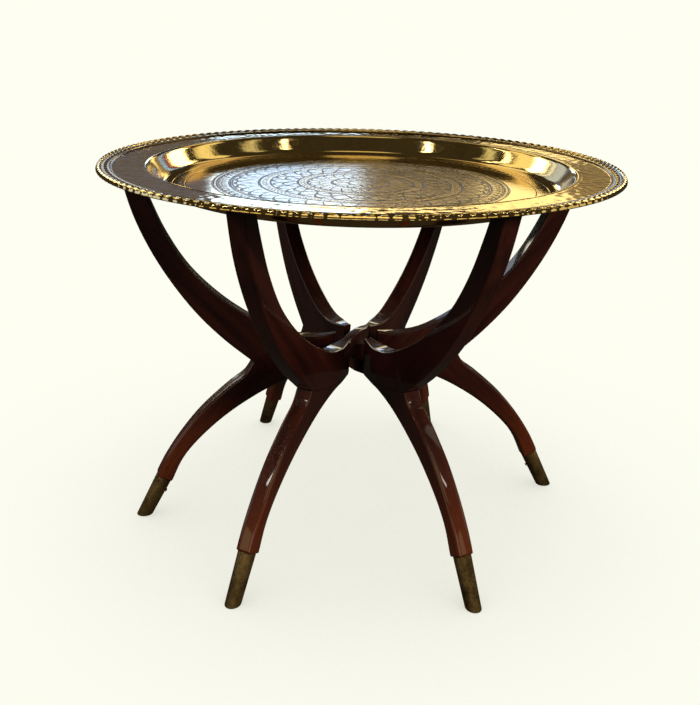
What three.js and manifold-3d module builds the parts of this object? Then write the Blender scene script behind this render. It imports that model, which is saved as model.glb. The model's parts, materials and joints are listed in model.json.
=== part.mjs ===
// A round brass tray on a folding wooden stand with six curved legs.
//
// The stand is three pairs of opposite arms and legs. Each pair is joined by a narrow bridge bar, the
// three bars are stacked at the centre, and one bolt from below holds them as a pivot, so the stand
// closes like a fan until the arms touch at the hub. The tray only rests on the arms.
//
// Millimetres, +Z up. The origin is on the floor, on the tray's axis.

import * as THREE from 'three';
import { mergeVertices } from 'three/addons/utils/BufferGeometryUtils.js';
import Module from 'manifold-3d';

// Driving dimensions
const TRAY_RADIUS = 292;
const RIM_HEIGHT = 431.8;          // top of the flat rim above the floor
const SHEET = 1.6;                 // thickness of the brass sheet
const WELL_RADIUS = 240.5;         // where the flat rim turns down into the well
const FLOOR_RADIUS = 220;          // where the well's wall meets its floor
const WELL_DEPTH = 22;
const BORDER_WIDTH = 16;           // raised border along the rim's edge
const BORDER_HEIGHT = 4;
const TRAY_SEGMENTS = 64;
const BOARD = 20.6;                // thickness of the arm and leg boards
const WAIST = 9;                   // width of the arms where they meet the bridge bars
const WAIST_END = 54;              // from the axis to where the boards have their full thickness
const HUB_REACH = 26;              // from the axis to the arms' inner ends
const HUB_BOTTOM = 184;            // underside of the lowest bridge bar
const BAR_DEPTH = 15.2;            // height of one bridge bar
const BAR_GAP = 1.2;               // space between two bars, which holds a washer
const FOOT_RADIUS = 264;           // centre of a foot from the axis
const FOOT_LEAN = 27.5;            // degrees that a ferrule leans from upright
const FERRULE_LENGTH = 57;         // along the leg
const FERRULE_TOP = 9.9;           // outer radii of the ferrule
const FERRULE_FOOT = 8.7;
const FERRULE_WALL = 1;
const ANKLE = 20.6;                // width of the leg where it meets the ferrule
const GAP = 0.3;                   // clearance between touching pieces

// The three pairs, from the top bridge bar to the bottom one. A pair's direction is that of its near
// limb, in degrees about +Z. The arm and leg boards of a limb tilt a little sideways, in degrees,
// as the old joints have settled.
const PAIRS = [
  {
    bar: 'bridge_top', level: 2, direction: 63.8,
    near: { name: 'back_right', arm: 2.3, leg: 2.3 },
    far: { name: 'front_left', arm: -2.1, leg: -2 },
  },
  {
    bar: 'bridge_middle', level: 1, direction: 12,
    near: { name: 'right', arm: 0, leg: 0 },
    far: { name: 'left', arm: 0, leg: 0 },
  },
  {
    bar: 'bridge_bottom', level: 0, direction: 120.5,
    near: { name: 'back_left', arm: 4.4, leg: 1.1 },
    far: { name: 'front_right', arm: -1.4, leg: 0 },
  },
];

// Joinery
const TENON = { length: 18, width: 5, height: 6.4 };
const DOWELS = [{ x: 90, low: 180.5, high: 203 }, { x: 112, low: 178, high: 210 }];
const DOWEL_RADIUS = 4;
const BOLT_RADIUS = 2.5;
const BOLT_HEAD = { radius: 5, height: 4 };
const HEAD_WASHER = { radius: 6.2, height: 1.5 };
const COUNTERBORE = { radius: 6.8, depth: 6.6 };
const NUT = { radius: 4, height: 8.7 };
const SPACER_RADIUS = 7;
const NAIL = { place: 40, shank: 1, head: 2.4, headHeight: 1, depth: 7 };

const COLOURS = { wood: 0x3a1410, brass: 0xc8a14c, oldBrass: 0x6a5a36, steel: 0x8d8f92 };

const wasm = await Module();
wasm.setup();

// Materials
function makeMaterial(color, roughness, metalness) {
  return new THREE.MeshStandardMaterial({ color, roughness, metalness });
}

const woodMaterial = () => makeMaterial(COLOURS.wood, 0.25, 0);
const brassMaterial = () => makeMaterial(COLOURS.brass, 0.2, 1);
const oldBrassMaterial = () => makeMaterial(COLOURS.oldBrass, 0.5, 1);
const steelMaterial = () => makeMaterial(COLOURS.steel, 0.4, 1);

// Boolean helpers
function toSolid(geometry) {
  const plain = geometry.index ? geometry.toNonIndexed() : geometry.clone();
  plain.deleteAttribute('normal');
  plain.deleteAttribute('uv');
  const merged = mergeVertices(plain, 1e-4);
  const mesh = new wasm.Mesh({
    numProp: 3,
    vertProperties: new Float32Array(merged.attributes.position.array),
    triVerts: new Uint32Array(merged.index.array),
  });
  mesh.merge();
  return new wasm.Manifold(mesh);
}

function toGeometry(solid) {
  const mesh = solid.getMesh();
  const geometry = new THREE.BufferGeometry();
  geometry.setAttribute('position', new THREE.BufferAttribute(mesh.vertProperties, 3));
  geometry.setIndex(new THREE.BufferAttribute(mesh.triVerts, 1));
  geometry.computeVertexNormals();
  return geometry;
}

function cutAll(solid, cutters) {
  return cutters.reduce((rest, cutter) => rest.subtract(toSolid(cutter)), solid);
}

// Shape helpers. A profile point is [distance from the axis, height].
function vectors(points) {
  return points.map(([x, y]) => new THREE.Vector2(x, y));
}

function curveThrough(points, steps) {
  return new THREE.SplineCurve(vectors(points)).getPoints(steps);
}

// A board lies in the X-Z plane, with its thickness along Y.
function board(outline, thickness) {
  const geometry = new THREE.ExtrudeGeometry(new THREE.Shape(outline), {
    depth: thickness,
    bevelEnabled: false,
  });
  geometry.rotateX(Math.PI / 2);
  geometry.translate(0, thickness / 2, 0);
  return geometry;
}

// A plate lies flat, between two heights.
function plate(corners, low, high) {
  const geometry = new THREE.ExtrudeGeometry(new THREE.Shape(vectors(corners)), {
    depth: high - low,
    bevelEnabled: false,
  });
  geometry.translate(0, 0, low);
  return geometry;
}

function turned(profile, segments) {
  const geometry = new THREE.LatheGeometry(vectors(profile), segments);
  geometry.rotateX(Math.PI / 2);
  return geometry;
}

function rod(radius, low, high, x, segments = 12) {
  const geometry = new THREE.CylinderGeometry(radius, radius, high - low, segments);
  geometry.rotateX(Math.PI / 2);
  geometry.translate(x, 0, (low + high) / 2);
  return geometry;
}

function ring(outer, inner, low, high, segments) {
  return turned([[inner, low], [outer, low], [outer, high], [inner, high], [inner, low]], segments);
}

// The underside of an arm, from its inner end to the notch where the leg comes out
const SEAM_START = new THREE.Vector2(HUB_REACH, 186);
const NOTCH = new THREE.Vector2(127, 200);
const seam = new THREE.QuadraticBezierCurve(SEAM_START, new THREE.Vector2(96, 187.5), NOTCH);

// Bridge bars are counted from the bottom.
function barBottom(level) {
  return HUB_BOTTOM + level * (BAR_DEPTH + BAR_GAP);
}

function tenonRange(level) {
  const low = barBottom(level) + (level === 2 ? 1.2 : 3.4);
  return [low, low + TENON.height];
}

// Arm: a crescent board that rises from the hub and tapers to the rim
function armOutline() {
  const top = RIM_HEIGHT - SHEET - GAP;
  const inner = curveThrough([
    [HUB_REACH, 230], [50, 227.5], [82, 232], [122, 252], [161, 280],
    [196, 316], [221, 357], [238, 398], [248.8, top],
  ], 24);
  const outer = curveThrough([
    [269, top], [257, 382], [240, 340], [217, 299], [189, 260], [158, 227], [NOTCH.x, NOTCH.y],
  ], 16);
  const under = seam.getPoints(6).reverse();
  return [...inner, ...outer, ...under.slice(1)];
}

function mortise(level) {
  const [low, high] = tenonRange(level);
  const half = TENON.width / 2 + GAP;
  const end = HUB_REACH + TENON.length + GAP;
  return plate([[HUB_REACH - 1, -half], [end, -half], [end, half], [HUB_REACH - 1, half]],
    low - GAP, high + GAP);
}

function dowelHoles() {
  return DOWELS.map(({ x, low, high }) => rod(DOWEL_RADIUS + GAP, low - GAP, high + GAP, x));
}

// Seen from above, a board narrows to its waist at the hub.
function waistedPlan() {
  const far = TRAY_RADIUS;
  const half = BOARD / 2;
  const narrow = WAIST / 2;
  return toSolid(plate([
    [HUB_REACH - 1, -narrow], [HUB_REACH, -narrow], [WAIST_END, -half], [far, -half],
    [far, half], [WAIST_END, half], [HUB_REACH, narrow], [HUB_REACH - 1, narrow],
  ], -1, RIM_HEIGHT));
}

// Tilting slides each level of a board sideways about the hub, so that its top and foot stay level.
function tilted(geometry, degrees) {
  const slope = Math.tan(THREE.MathUtils.degToRad(degrees));
  const slide = new THREE.Matrix4().set(
    1, 0, 0, 0,
    0, 1, -slope, slope * NOTCH.y,
    0, 0, 1, 0,
    0, 0, 0, 1,
  );
  return geometry.applyMatrix4(slide);
}

function makeArm(level, tilt) {
  const straight = toSolid(board(armOutline(), BOARD)).intersect(waistedPlan());
  const blank = toSolid(tilted(toGeometry(straight), tilt));
  return toGeometry(cutAll(blank, [mortise(level), ...dowelHoles()]));
}

// Leg: a curved board glued under the arm, which ends in a round tenon inside the ferrule
const lean = THREE.MathUtils.degToRad(FOOT_LEAN);

// A point on the ferrule's axis or beside it, measured from the foot
function besideFoot(along, across) {
  const x = FOOT_RADIUS - along * Math.sin(lean) + across * Math.cos(lean);
  const z = along * Math.cos(lean) + across * Math.sin(lean);
  return [x, z];
}

function legOutline() {
  const half = ANKLE / 2;
  const shoulder = FERRULE_LENGTH + GAP;
  const glueLine = seam.getPoints(8).map((p) => new THREE.Vector2(p.x, p.y - GAP - 0.1));
  const upper = curveThrough([
    [NOTCH.x, NOTCH.y - GAP - 0.1], [136, 185], [157, 169], [189, 140],
    [214, 110], [234, 80], besideFoot(shoulder, half),
  ], 18);
  const lower = curveThrough([
    besideFoot(shoulder, -half), [212, 79], [185, 110], [149, 140], [104, 167],
    [62, 181.5], [HUB_REACH, 182.5],
  ], 16);
  return [...glueLine, ...upper.slice(1), ...lower];
}

// Seen from the front, the leg board thins down to the ankle.
function taperedFront() {
  const half = BOARD / 2;
  const thin = ANKLE / 2;
  const full = 110;
  const low = 40;
  const profile = board(vectors([
    [-thin, low], [thin, low], [half, full], [half, RIM_HEIGHT], [-half, RIM_HEIGHT], [-half, full],
  ]), 2 * TRAY_RADIUS);
  profile.rotateZ(Math.PI / 2);
  return toSolid(profile);
}

// Pieces on the ferrule's axis are turned about +Z and then leaned over the foot.
function leanOverFoot(geometry) {
  geometry.rotateY(-lean);
  geometry.translate(FOOT_RADIUS, 0, 0);
  return geometry;
}

function ferruleRadius(along) {
  return FERRULE_FOOT + (FERRULE_TOP - FERRULE_FOOT) * (along / FERRULE_LENGTH);
}

function ferruleBore(along) {
  return ferruleRadius(along) - FERRULE_WALL;
}

const CUP_FLOOR = 7.5;             // solid brass under the tenon

// A straight cutter or a nail, across the ferrule's axis on the side that faces the stand's middle
function acrossFerrule(geometry) {
  geometry.rotateY(-Math.PI / 2);
  geometry.translate(0, 0, NAIL.place);
  return leanOverFoot(geometry);
}

function nailHole() {
  const reach = FERRULE_TOP + 3;
  return acrossFerrule(rod(NAIL.shank + GAP, NAIL.depth - 3 - GAP, reach, 0, 10));
}

function tenonBody() {
  const end = CUP_FLOOR + GAP + 0.2;
  const start = FERRULE_LENGTH + 4;
  return leanOverFoot(turned([
    [0, end], [ferruleBore(end) - GAP, end], [ferruleBore(FERRULE_LENGTH) - GAP, FERRULE_LENGTH],
    [ferruleBore(FERRULE_LENGTH) - GAP, start], [0, start],
  ], 18));
}

function makeLeg(tilt) {
  const curved = toSolid(board(legOutline(), BOARD)).intersect(taperedFront()).intersect(waistedPlan());
  const drilled = curved.add(toSolid(tenonBody())).subtract(toSolid(nailHole()));
  const blank = toSolid(tilted(toGeometry(drilled), tilt));
  return toGeometry(cutAll(blank, dowelHoles()));
}

function makeFerrule(tilt) {
  const below = -8;
  const cup = leanOverFoot(turned([
    [0, below], [ferruleRadius(below), below], [FERRULE_TOP, FERRULE_LENGTH],
    [FERRULE_TOP - FERRULE_WALL, FERRULE_LENGTH], [ferruleBore(CUP_FLOOR), CUP_FLOOR], [0, CUP_FLOOR],
  ], 20));
  const side = 100;
  const underground = new THREE.BoxGeometry(side, side, side);
  underground.translate(FOOT_RADIUS, 0, -side / 2);
  return tilted(toGeometry(cutAll(toSolid(cup), [underground, nailHole()])), tilt);
}

function makeNail(tilt) {
  const tip = NAIL.depth - 3;
  const under = ferruleRadius(NAIL.place) + GAP + 0.3;
  return tilted(acrossFerrule(turned([
    [0, tip], [NAIL.shank, tip + 1], [NAIL.shank, under], [NAIL.head, under],
    [NAIL.head * 0.7, under + NAIL.headHeight], [0, under + NAIL.headHeight],
  ], 10)), tilt);
}

// Bridge bar: joins two opposite arms across the pivot, with a tenon in each arm
function barPlan(level) {
  const x = HUB_REACH - GAP;
  const middle = 12;
  const half = level === 2 ? 6 : 9;
  const narrow = WAIST / 2;
  return [
    [-x, -narrow], [-middle, -half], [middle, -half], [x, -narrow],
    [x, narrow], [middle, half], [-middle, half], [-x, narrow],
  ];
}

function tenonPlan() {
  const x = HUB_REACH + TENON.length;
  const half = TENON.width / 2;
  return [[-x, -half], [x, -half], [x, half], [-x, half]];
}

// The top bar is crowned, so that it runs into the arms' upper edges.
function crown(level) {
  const low = barBottom(level);
  const high = low + BAR_DEPTH;
  const ends = 229.6;
  const wide = HUB_REACH + 2;
  const arch = curveThrough([
    [wide, ends], [16, high - 0.9], [0, high], [-16, high - 0.9], [-wide, ends],
  ], 10);
  const base = vectors([[-wide, low - 1], [wide, low - 1]]);
  return board([...arch, ...base], 4 * BOARD);
}

function makeBar(level) {
  const low = barBottom(level);
  let bar = toSolid(plate(barPlan(level), low, low + BAR_DEPTH));
  if (level === 2) bar = bar.intersect(toSolid(crown(level)));
  bar = bar.add(toSolid(plate(tenonPlan(), ...tenonRange(level))));
  const bore = level === 2
    ? rod(NUT.radius + GAP, low - 1, low + GAP + NUT.height + GAP, 0, 16)
    : rod(BOLT_RADIUS + GAP, low - 1, low + BAR_DEPTH + 1, 0, 16);
  const cutters = [bore];
  if (level === 0) cutters.push(rod(COUNTERBORE.radius, low - 1, low + COUNTERBORE.depth, 0, 20));
  return toGeometry(cutAll(bar, cutters));
}

// Pivot: bolt from below, its washer, spacers between the bars and the threaded nut in the top bar
const HEAD_SEAT = HUB_BOTTOM + COUNTERBORE.depth - GAP - HEAD_WASHER.height - GAP;

function makeBolt() {
  const head = toSolid(rod(BOLT_HEAD.radius, HEAD_SEAT - BOLT_HEAD.height, HEAD_SEAT, 0, 6));
  const tip = barBottom(2) + NUT.height;
  const shank = toSolid(rod(BOLT_RADIUS - GAP / 2, HEAD_SEAT - 1, tip, 0, 16));
  return toGeometry(head.add(shank));
}

function makeHeadWasher() {
  const low = HEAD_SEAT + GAP;
  return ring(HEAD_WASHER.radius, BOLT_RADIUS + GAP, low, low + HEAD_WASHER.height, 20);
}

function makeSpacer(level) {
  const low = barBottom(level) - BAR_GAP + GAP;
  return ring(SPACER_RADIUS, BOLT_RADIUS + GAP, low, barBottom(level) - GAP, 20);
}

function makeNut() {
  const low = barBottom(2) + GAP;
  return ring(NUT.radius, BOLT_RADIUS + GAP, low, low + NUT.height, 16);
}

// Tray: one spun sheet, with a flat rim, a raised border and a well
function makeTray() {
  const floor = RIM_HEIGHT - WELL_DEPTH;
  const borderStart = TRAY_RADIUS - BORDER_WIDTH;
  const top = [
    [FLOOR_RADIUS, floor], [FLOOR_RADIUS + 4.5, floor + 1.6], [WELL_RADIUS - 3.5, RIM_HEIGHT - 2.4],
    [WELL_RADIUS, RIM_HEIGHT], [borderStart, RIM_HEIGHT], [borderStart + 3, RIM_HEIGHT + BORDER_HEIGHT],
    [TRAY_RADIUS - 3, RIM_HEIGHT + BORDER_HEIGHT], [TRAY_RADIUS, RIM_HEIGHT + 1],
  ];
  const under = [
    [FLOOR_RADIUS + 0.8, floor - SHEET], [FLOOR_RADIUS + 5.6, floor + 0.4],
    [WELL_RADIUS - 2.2, RIM_HEIGHT - 3.4], [WELL_RADIUS + 0.8, RIM_HEIGHT - SHEET],
    [TRAY_RADIUS - 2, RIM_HEIGHT - SHEET], [TRAY_RADIUS, RIM_HEIGHT - SHEET + 1],
  ];
  return turned([[0, floor - SHEET], ...under, ...top.reverse(), [0, floor]], TRAY_SEGMENTS);
}

// Assembly
const table = new THREE.Group();

function place(name, geometry, material, parent) {
  const mesh = new THREE.Mesh(geometry, material);
  mesh.name = name;
  parent.add(mesh);
  return mesh;
}

// One arm with its leg, as it stands at the end of a pair
function addLimb(parent, level, { name, arm, leg }, turn) {
  const limb = new THREE.Group();
  limb.rotation.z = turn;
  parent.add(limb);
  place(`arm_${name}`, makeArm(level, arm), woodMaterial(), limb);
  place(`leg_${name}`, makeLeg(leg), woodMaterial(), limb);
  place(`ferrule_${name}`, makeFerrule(leg), oldBrassMaterial(), limb);
  place(`ferrule_nail_${name}`, makeNail(leg), oldBrassMaterial(), limb);
  DOWELS.forEach(({ x, low, high }, i) => {
    const end = i === 0 ? 'inner' : 'outer';
    place(`dowel_${end}_${name}`, rod(DOWEL_RADIUS, low, high, x, 10), woodMaterial(), limb);
  });
}

for (const { bar, level, direction, near, far } of PAIRS) {
  const pair = new THREE.Group();
  pair.rotation.z = THREE.MathUtils.degToRad(direction);
  table.add(pair);
  place(bar, makeBar(level), woodMaterial(), pair);
  addLimb(pair, level, near, 0);
  addLimb(pair, level, far, Math.PI);
}

place('pivot_bolt', makeBolt(), steelMaterial(), table);
place('pivot_head_washer', makeHeadWasher(), steelMaterial(), table);
place('pivot_nut', makeNut(), brassMaterial(), table);
place('spacer_lower', makeSpacer(1), brassMaterial(), table);
place('spacer_upper', makeSpacer(2), brassMaterial(), table);
place('tray', makeTray(), brassMaterial(), table);

export default table;
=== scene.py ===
# %% [markdown]
# A brass tray table, made in Blender around its CAD model.
# The real table is a spun brass tray that rests on a folding stand of dark lacquered wood.
# The stand is three crossed pairs of curved arms and legs that turn on one bolt.
# The CAD model fixes every size and place, so it is loaded first and never changed.

# %% Load the CAD model
import json
import math

import bmesh
import bpy
from mathutils import Matrix, Vector


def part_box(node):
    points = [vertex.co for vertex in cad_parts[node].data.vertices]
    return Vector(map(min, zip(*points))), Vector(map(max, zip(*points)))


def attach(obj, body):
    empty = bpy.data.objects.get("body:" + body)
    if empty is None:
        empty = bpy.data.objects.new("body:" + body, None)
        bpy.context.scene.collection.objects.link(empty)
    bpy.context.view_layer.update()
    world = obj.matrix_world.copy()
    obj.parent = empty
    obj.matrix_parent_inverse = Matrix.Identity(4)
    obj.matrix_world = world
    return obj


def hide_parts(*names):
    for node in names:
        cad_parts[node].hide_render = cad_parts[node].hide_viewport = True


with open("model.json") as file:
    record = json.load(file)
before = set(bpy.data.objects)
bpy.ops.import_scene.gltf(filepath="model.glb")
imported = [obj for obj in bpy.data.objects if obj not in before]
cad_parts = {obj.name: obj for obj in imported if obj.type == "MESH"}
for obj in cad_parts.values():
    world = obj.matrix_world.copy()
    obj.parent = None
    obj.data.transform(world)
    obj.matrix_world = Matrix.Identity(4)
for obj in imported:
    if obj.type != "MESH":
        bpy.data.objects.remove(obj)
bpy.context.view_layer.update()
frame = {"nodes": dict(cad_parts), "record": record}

MM = 0.001

# %% [markdown]
# The camera stands a little above the rim, in front of the table, so the tray shows as a thin
# ellipse. A long lens keeps the legs upright. It comes first, so that every later piece can be
# looked at.

# %% Camera
bpy.ops.object.select_all(action="DESELECT")
CAMERA_PLACE = (0.0044, -1.0422, 0.5967)
CAMERA_ANGLES = (69.25, -1.37, 1.17)
LENS_MM = 46.43
bpy.ops.object.camera_add(location=CAMERA_PLACE)
camera = bpy.context.object
camera.name = "camera"
camera.rotation_euler = [math.radians(a) for a in CAMERA_ANGLES]
camera.data.sensor_width = 36
camera.data.lens = LENS_MM
bpy.context.scene.camera = camera
print("camera", [round(v, 3) for v in camera.location])

# %% [markdown]
# A material is a small network of nodes. Wiring it node by node is long to read, so one class wraps
# an output socket and lets sums be written as sums: each operator adds its own Math node.
# A second class adds any other node, with its settings first and then its values or links.


# %% A socket that can be used in sums
class Wire:
    """One output socket. An expression on wires adds the Math nodes for it."""

    def __init__(self, network, socket):
        self.network = network
        self.socket = socket

    def sum(self, operation, *inputs):
        node = self.network.tree.nodes.new("ShaderNodeMath")
        node.operation = operation
        for slot, value in zip(node.inputs, inputs):
            self.network.feed(slot, value)
        return Wire(self.network, node.outputs[0])

    def __add__(self, other):
        return self.sum("ADD", self, other)

    def __radd__(self, other):
        return self.sum("ADD", other, self)

    def __sub__(self, other):
        return self.sum("SUBTRACT", self, other)

    def __rsub__(self, other):
        return self.sum("SUBTRACT", other, self)

    def __mul__(self, other):
        return self.sum("MULTIPLY", self, other)

    def __rmul__(self, other):
        return self.sum("MULTIPLY", other, self)

    def __truediv__(self, other):
        return self.sum("DIVIDE", self, other)

    def __pow__(self, other):
        return self.sum("POWER", self, other)

    def at_most(self, other):
        return self.sum("MINIMUM", self, other)

    def at_least(self, other):
        return self.sum("MAXIMUM", self, other)

    def size(self):
        return self.sum("ABSOLUTE", self)

    def wave(self):
        return self.sum("SINE", self)

    def step(self, start, end):
        """0 below start, 1 above end, and smooth between them."""
        node = self.network.add(
            "ShaderNodeMapRange",
            {"interpolation_type": "SMOOTHSTEP"},
            {"Value": self, "From Min": start, "From Max": end},
        )
        return node["Result"]

    def band(self, start, end, soft):
        """1 between start and end, with soft edges."""
        return self.step(start - soft, start + soft) * (1 - self.step(end - soft, end + soft))


# %% A network of nodes
class Network:
    """A material's or world's nodes."""

    def __init__(self, tree):
        self.tree = tree
        tree.nodes.clear()

    def feed(self, slot, value):
        if isinstance(value, Wire):
            self.tree.links.new(value.socket, slot)
        else:
            slot.default_value = value

    def add(self, kind, settings=None, values=None):
        """Adds a node and returns its outputs by name. An input is named or numbered."""
        node = self.tree.nodes.new(kind)
        for name, value in (settings or {}).items():
            setattr(node, name, value)
        for name, value in (values or {}).items():
            self.feed(node.inputs[name], value)
        return {out.name: Wire(self, out) for out in node.outputs if out.enabled}

    def mix(self, share, first, second):
        """A colour that goes from first to second as share goes from 0 to 1."""
        node = self.tree.nodes.new("ShaderNodeMix")
        node.data_type = "RGBA"
        for number, value in ((0, share), (6, first), (7, second)):
            plain = number > 0 and not isinstance(value, Wire)
            self.feed(node.inputs[number], (*value, 1) if plain else value)
        return Wire(self, node.outputs[2])

    def place(self, move=(0, 0, 0), turn=0.0, scale=(1, 1, 1)):
        """Object coordinates, moved, turned about Z and scaled."""
        coordinates = self.add("ShaderNodeTexCoord")["Object"]
        return self.add(
            "ShaderNodeMapping",
            {},
            {"Vector": coordinates, "Location": move, "Rotation": (0, 0, turn), "Scale": scale},
        )["Vector"]

    def noise(self, place, scale, detail=3.0, rough=0.5):
        return self.add(
            "ShaderNodeTexNoise",
            {},
            {"Vector": place, "Scale": scale, "Detail": detail, "Roughness": rough},
        )["Fac"]

    def bump(self, height, distance, strength=1.0):
        return self.add(
            "ShaderNodeBump",
            {},
            {"Height": height, "Distance": distance, "Strength": strength},
        )["Normal"]

    def shade(self, values):
        """The surface shader, and the end of the network."""
        surface = self.add("ShaderNodeBsdfPrincipled", {}, values)["BSDF"]
        self.add("ShaderNodeOutputMaterial", {}, {"Surface": surface})


def new_material(name):
    material = bpy.data.materials.new(name)
    material.use_nodes = True
    return material, Network(material.node_tree)


print("shader tools ready")

# %% [markdown]
# Polished brass shows what is around it, so the room matters as much as the metal.
# The world is a plain pale backdrop to the camera and a soft even fill to dull surfaces.
# Only shiny surfaces see the panels, large and narrow, which stand where windows, walls and frames
# would. Their places suit the camera above, so the metal looks darker from other sides.

# %% World
world = bpy.data.worlds.new("studio")
world.use_nodes = True
bpy.context.scene.world = world
bpy.context.scene.view_settings.view_transform = "Standard"
studio = Network(world.node_tree)
direction = studio.add("ShaderNodeTexCoord")["Generated"]
axes = studio.add("ShaderNodeSeparateXYZ", {}, {"Vector": direction})
around = axes["X"].sum("ARCTAN2", axes["X"], axes["Y"]) * (180 / math.pi)
height = axes["Z"].sum("ARCSINE", axes["Z"]) * (180 / math.pi)

BACKDROP = (0.99, 1.0, 0.885)
FILL = (0.13, 0.12, 0.115)
ROOM = (0.042, 0.034, 0.023)
PANELS = [
    # around from, to, height from, to, softness, colour
    (-24, 24, 2, 7.4, 0.6, (0.16, 0.13, 0.08)),
    (-9.6, -0.3, 8.6, 15.5, 0.25, (2.1, 3.0, 4.4)),
    (-17, -9.6, 8.4, 17, 0.5, (0.15, 0.14, 0.18)),
    (-4, 13, 13.2, 16.5, 0.3, (2.8, 2.3, 1.35)),
    (7.2, 12.8, 7.2, 16.5, 0.4, (1.7, 1.4, 0.7)),
    (12.8, 18, 8.0, 17, 0.5, (0.36, 0.26, 0.12)),
    (19, 22, 6, 30, 0.4, (0.5, 0.95, 2.0)),
    (23, 27, 6, 30, 0.4, (0.30, 0.025, 0.02)),
    (28, 42, 13, 32, 0.8, (5.2, 4.6, 3.1)),
    (8, 35, 34, 48, 1.0, (0.8, 0.62, 0.35)),
    (50, 62, 22, 46, 0.8, (1.2, 1.05, 0.62)),
    (84, 92, 40, 54, 1.0, (0.75, 0.7, 0.5)),
    (-27, -17, 6, 24, 0.5, (0.62, 0.74, 1.05)),
    (-32, -28, 8, 30, 0.5, (1.2, 1.3, 1.5)),
    (-46, -35, 13, 32, 0.8, (5.6, 5.2, 4.0)),
    (-38, -6, 34, 48, 1.0, (1.1, 0.9, 0.5)),
    (-60, -47, 18, 44, 0.8, (1.3, 1.1, 0.62)),
    (-66, -64, 20, 50, 0.4, (7.0, 6.4, 5.0)),
    (-80, -74, 30, 50, 1.0, (0.8, 0.75, 0.5)),
    (-123, -120.5, 38, 60, 0.5, (14.0, 13.0, 11.0)),
    (112, 114, 36, 58, 0.5, (10.0, 9.0, 7.6)),
    (-180, 180, 80, 91, 2.0, (0.85, 0.72, 0.44)),
    (70, 98, 5, 20, 1.5, (0.85, 0.76, 0.52)),
    (118, 146, 5, 20, 1.5, (1.0, 0.80, 0.42)),
    (166, 180, 5, 20, 1.5, (1.2, 1.1, 0.85)),
    (-180, -160, 5, 20, 1.5, (1.2, 1.1, 0.85)),
    (-146, -118, 5, 20, 1.5, (1.0, 0.80, 0.42)),
    (-98, -72, 5, 20, 1.5, (0.75, 0.85, 1.05)),
    (158, 180, 34, 54, 1.0, (1.4, 1.15, 0.7)),
    (-180, -158, 34, 54, 1.0, (1.4, 1.15, 0.7)),
]
seen = studio.mix(0.0, ROOM, ROOM)
for left, right, low, high, soft, colour in PANELS:
    mask = around.band(left, right, soft) * height.band(low, high, soft)
    seen = studio.mix(mask, seen, colour)
rays = studio.add("ShaderNodeLightPath")
light = studio.mix(rays["Is Glossy Ray"], FILL, seen)
light = studio.mix(rays["Is Camera Ray"], light, BACKDROP)
glow = studio.add("ShaderNodeBackground", {}, {"Color": light, "Strength": 1.0})["Background"]
studio.add("ShaderNodeOutputWorld", {}, {"Surface": glow})
print("panels", len(PANELS))

# %% [markdown]
# Three soft lamps shape the wood: a strong one in front on the right, a weaker one on the left, and
# one high behind. Area lamps are used, because their wide faces give soft edges. They are hidden
# from shiny surfaces, whose highlights come from the panels.


# %% Lamps
def hang_lamp(name, place, aim, size, power, colour):
    """A square lamp that faces aim. Shiny surfaces see the panels, and not the lamp."""
    bpy.ops.object.light_add(type="AREA", location=place)
    lamp = bpy.context.object
    lamp.name = name
    lamp.rotation_euler = (Vector(aim) - Vector(place)).to_track_quat("-Z", "Y").to_euler()
    lamp.data.size = size
    lamp.data.energy = power
    lamp.data.color = colour
    lamp.visible_glossy = False
    return lamp


hang_lamp("lamp_right", (1.5, -1.5, 1.35), (0, 0, 0.15), 0.7, 70, (1.0, 0.93, 0.84))
hang_lamp("lamp_left", (-1.7, -0.9, 1.2), (0, 0, 0.2), 0.8, 28, (0.92, 0.96, 1.0))
hang_lamp("lamp_back", (-0.5, 1.9, 1.5), (0, 0, 0.25), 0.9, 60, (0.95, 0.97, 1.0))
print("lamps hung")

# %% [markdown]
# The floor only has to be plain and pale, with a soft shade under the table.
# A large plane glows with the backdrop's own colour, so no horizon shows, and an Ambient Occlusion
# node darkens it where the table shuts out the light. Other rays see a dim floor.

# %% Floor
bpy.ops.object.select_all(action="DESELECT")
bpy.ops.mesh.primitive_plane_add(size=8)
floor = bpy.context.object
floor.name = "floor"
floor_material, paint = new_material("pale_floor")
SHADE = (0.70, 0.69, 0.62)
SHADE_REACH = 0.55
DIM_FLOOR = (0.030, 0.024, 0.018)
open_sky = paint.add(
    "ShaderNodeAmbientOcclusion", {"samples": 8}, {"Distance": SHADE_REACH}
)["AO"]
pale = paint.mix(open_sky.step(0.25, 1.0), SHADE, BACKDROP)
floor_rays = paint.add("ShaderNodeLightPath")
floor_colour = paint.mix(floor_rays["Is Camera Ray"], DIM_FLOOR, pale)
floor_glow = paint.add("ShaderNodeEmission", {}, {"Color": floor_colour})["Emission"]
paint.add("ShaderNodeOutputMaterial", {}, {"Surface": floor_glow})
floor.data.materials.append(floor_material)
print("floor", tuple(floor.dimensions))

# %% [markdown]
# The stand is dark mahogany under thick, glossy lacquer. Close up, the wood shows long streaks that
# follow the board and fine short pores, and the lacquer is smooth on top of them.
# Streaks come from noise stretched along the grain. Each pair of boards points its own way, so its
# material turns the pattern to match. The lacquer is the shader's Coat.


# %% Lacquered wood
DARKEST = (0.007, 0.0017, 0.0016)
STREAKS = (0.046, 0.0098, 0.0048)
# The next colour is painted light: a lighter orange-brown that the lower legs are mixed towards.
LOWER_LEG_PAINTED_LIGHT = (0.088, 0.0180, 0.0045)
PORES = (0.008, 0.003, 0.002)


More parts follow.
